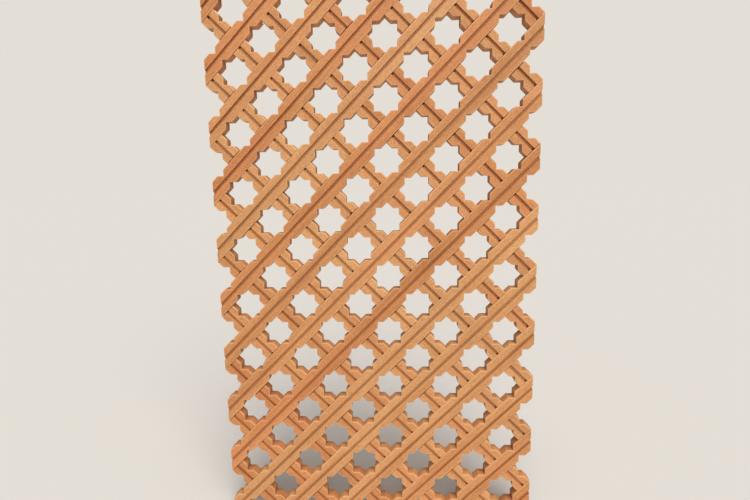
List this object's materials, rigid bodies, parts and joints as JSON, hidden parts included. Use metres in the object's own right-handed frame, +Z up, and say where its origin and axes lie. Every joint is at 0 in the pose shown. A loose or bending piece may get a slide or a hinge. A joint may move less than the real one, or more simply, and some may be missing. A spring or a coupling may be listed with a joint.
{
  "type": "mashrabiya lattice screen",
  "caption": "Frameless wooden window lattice of notched slats halved together on the slant, with eight-pointed star openings and a grooved front face.",
  "frame": {"origin": "middle of the flat back face, on the back of a front slat", "axes": "+X to the right seen from the front, +Y from the grooved front face to the flat back, +Z up"},
  "size_m": [0.4666, 0.016, 0.8062],
  "materials": {
    "front_slats": "planed softwood, unvarnished, warm orange-tan with fine straight grain, matt",
    "cross_slats": "planed softwood, unvarnished, slightly pinker tan with fine straight grain, matt"
  },
  "bodies": {
    "root": {"front_slat_01": "front_slats", "front_slat_02": "front_slats", "front_slat_03": "front_slats", "front_slat_04": "front_slats", "front_slat_05": "front_slats", "front_slat_06": "front_slats", "front_slat_07": "front_slats", "front_slat_08": "front_slats", "front_slat_09": "front_slats", "front_slat_10": "front_slats", "front_slat_11": "front_slats", "front_slat_12": "front_slats", "front_slat_13": "front_slats", "front_slat_14": "front_slats", "front_slat_15": "front_slats", "cross_slat_01": "cross_slats", "cross_slat_02": "cross_slats", "cross_slat_03": "cross_slats", "cross_slat_04": "cross_slats", "cross_slat_05": "cross_slats", "cross_slat_06": "cross_slats", "cross_slat_07": "cross_slats", "cross_slat_08": "cross_slats", "cross_slat_09": "cross_slats", "cross_slat_10": "cross_slats", "cross_slat_11": "cross_slats", "cross_slat_12": "cross_slats", "cross_slat_13": "cross_slats", "cross_slat_14": "cross_slats"}
  },
  "joints": []
}
